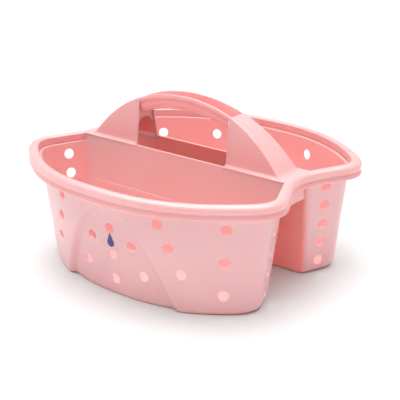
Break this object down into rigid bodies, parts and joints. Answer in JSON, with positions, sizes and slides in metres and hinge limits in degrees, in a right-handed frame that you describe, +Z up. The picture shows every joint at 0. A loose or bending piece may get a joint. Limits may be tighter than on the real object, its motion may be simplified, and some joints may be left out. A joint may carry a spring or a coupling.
{
  "type": "shower caddy",
  "caption": "Carry caddy with a pair of perforated D-shaped tubs side by side, joined at a rolled rim by a narrow bridge with a hollow arched handle.",
  "frame": {"origin": "centre of the caddy's footprint, on the standing surface", "axes": "+Z up, +X along the handle, -Y towards the tub that carries the label"},
  "size_m": [0.3236, 0.2864, 0.1777],
  "materials": {
    "moulded_plastic": "satin, slightly translucent rose-pink polypropylene",
    "clear_film": "clear gloss film",
    "label_ink": "printed ink"
  },
  "bodies": {
    "root": {"front_basket": "moulded_plastic", "rear_basket": "moulded_plastic", "rim_band": "moulded_plastic", "carry_handle": "moulded_plastic", "grip_trough": "moulded_plastic", "left_leg_web": "moulded_plastic", "right_leg_web": "moulded_plastic", "left_end_web": "moulded_plastic", "right_end_web": "moulded_plastic", "label_film": "clear_film", "label_mark": "label_ink"}
  },
  "joints": []
}
